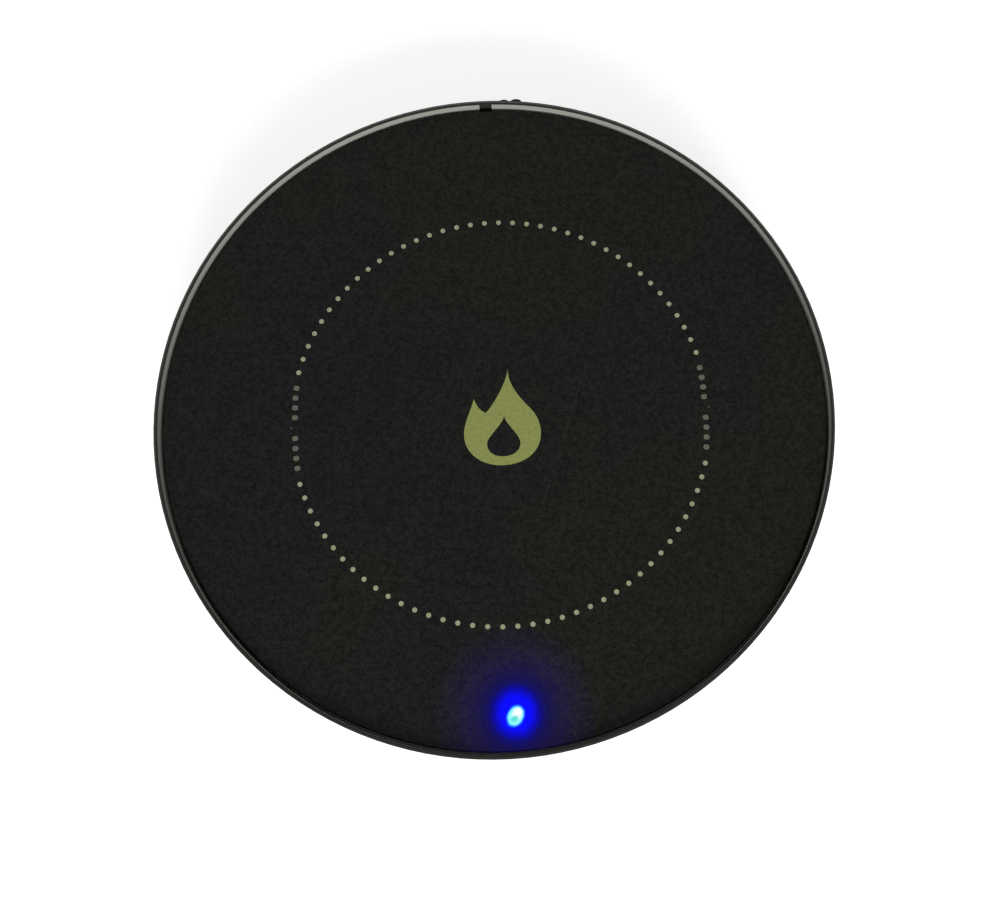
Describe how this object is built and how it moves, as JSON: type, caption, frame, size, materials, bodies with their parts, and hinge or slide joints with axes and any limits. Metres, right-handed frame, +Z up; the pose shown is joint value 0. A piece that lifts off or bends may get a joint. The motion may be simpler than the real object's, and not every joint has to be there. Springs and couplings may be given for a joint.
{
  "type": "electric mug warmer",
  "caption": "Low round desktop warmer with a floating black glass plate that a mug presses onto a switch.",
  "frame": {"origin": "centre of the rim, on the surface that the feet stand on", "axes": "+Z up, -Y the front with the indicator light, +X to the right seen from the front"},
  "size_m": [0.12, 0.1262, 0.019],
  "materials": {
    "black_plastic": "fine-textured black moulding",
    "silver_paint": "satin silver paint on moulded plastic",
    "bright_trim": "bright rolled strip",
    "black_glass": "back-printed toughened glass, black, faint hairlines",
    "rubber": "matte black rubber",
    "silicone": "grey silicone adhesive",
    "screw_steel": "zinc-plated",
    "spring_steel": "drawn wire",
    "sheet_steel": "pressed sheet",
    "aluminium": "turned sheet",
    "heater_foil": "etched foil, slightly heat-toned",
    "mica": "mica sheet with fine flakes",
    "felt": "pressed ceramic felt",
    "natural_nylon": "natural nylon",
    "clear_guide": "clear moulded rod",
    "blue_light": "clear blue epoxy, lit",
    "red_plastic": "smooth red moulding",
    "green_plastic": "smooth green moulding",
    "board_green": "green solder mask on laminate",
    "brass": "tinned brass",
    "brown_resin": "dipped resin",
    "blue_sleeve": "printed sleeve without print",
    "fuse_glass": "ceramic tube with plated caps",
    "lead_silicone": "red silicone insulation"
  },
  "bodies": {
    "base": {"base_shell": "black_plastic", "upper_frame": "silver_paint", "trim_strip": "bright_trim", "rubber_feet": "rubber", "housing_screws": "screw_steel", "cord_gland": "rubber", "cord_clamp": "natural_nylon", "clamp_screws": "screw_steel", "return_springs": "spring_steel", "switch_board": "board_green", "switch_body": "black_plastic", "switch_terminals": "brass", "light_board": "board_green", "light_spacer": "black_plastic", "indicator_light": "blue_light", "control_board": "board_green", "board_screws": "screw_steel", "cord_terminal": "green_plastic", "triac": "black_plastic", "drive_chip": "black_plastic", "film_capacitor": "brown_resin", "smoothing_capacitor": "blue_sleeve", "board_fuse": "fuse_glass", "resistors": "black_plastic", "heater_leads": "lead_silicone"},
    "hot_plate": {"top_glass": "black_glass", "glass_seal": "silicone", "plate_carrier": "black_plastic", "light_guide": "clear_guide", "heat_spreader": "aluminium", "upper_mica": "mica", "heater_ribbon": "heater_foil", "lower_mica": "mica", "insulation_felt": "felt", "heat_shield": "sheet_steel", "shield_screws": "screw_steel", "thermal_fuse": "brass", "temperature_sensor": "brown_resin", "sensor_clip": "sheet_steel", "stop_washers": "screw_steel", "stop_screws": "screw_steel"},
    "plunger": {"switch_plunger": "red_plastic"}
  },
  "joints": [
    {"name": "plate_press", "type": "slide", "parent": "base", "child": "hot_plate", "axis": [0, 0, -1], "range_m": [0, 0.0012], "stiffness_N_per_m": 600, "springref_m": -0.003, "deforming": ["return_springs", "heater_leads"]},
    {"name": "plunger_press", "type": "slide", "parent": "base", "child": "plunger", "axis": [0, 0, -1], "range_m": [0, 0.0012], "stiffness_N_per_m": 40, "springref_m": -0.0005}
  ],
  "couplings": [
    {"joint": "plunger_press", "follows": "plate_press", "ratio": 1}
  ]
}
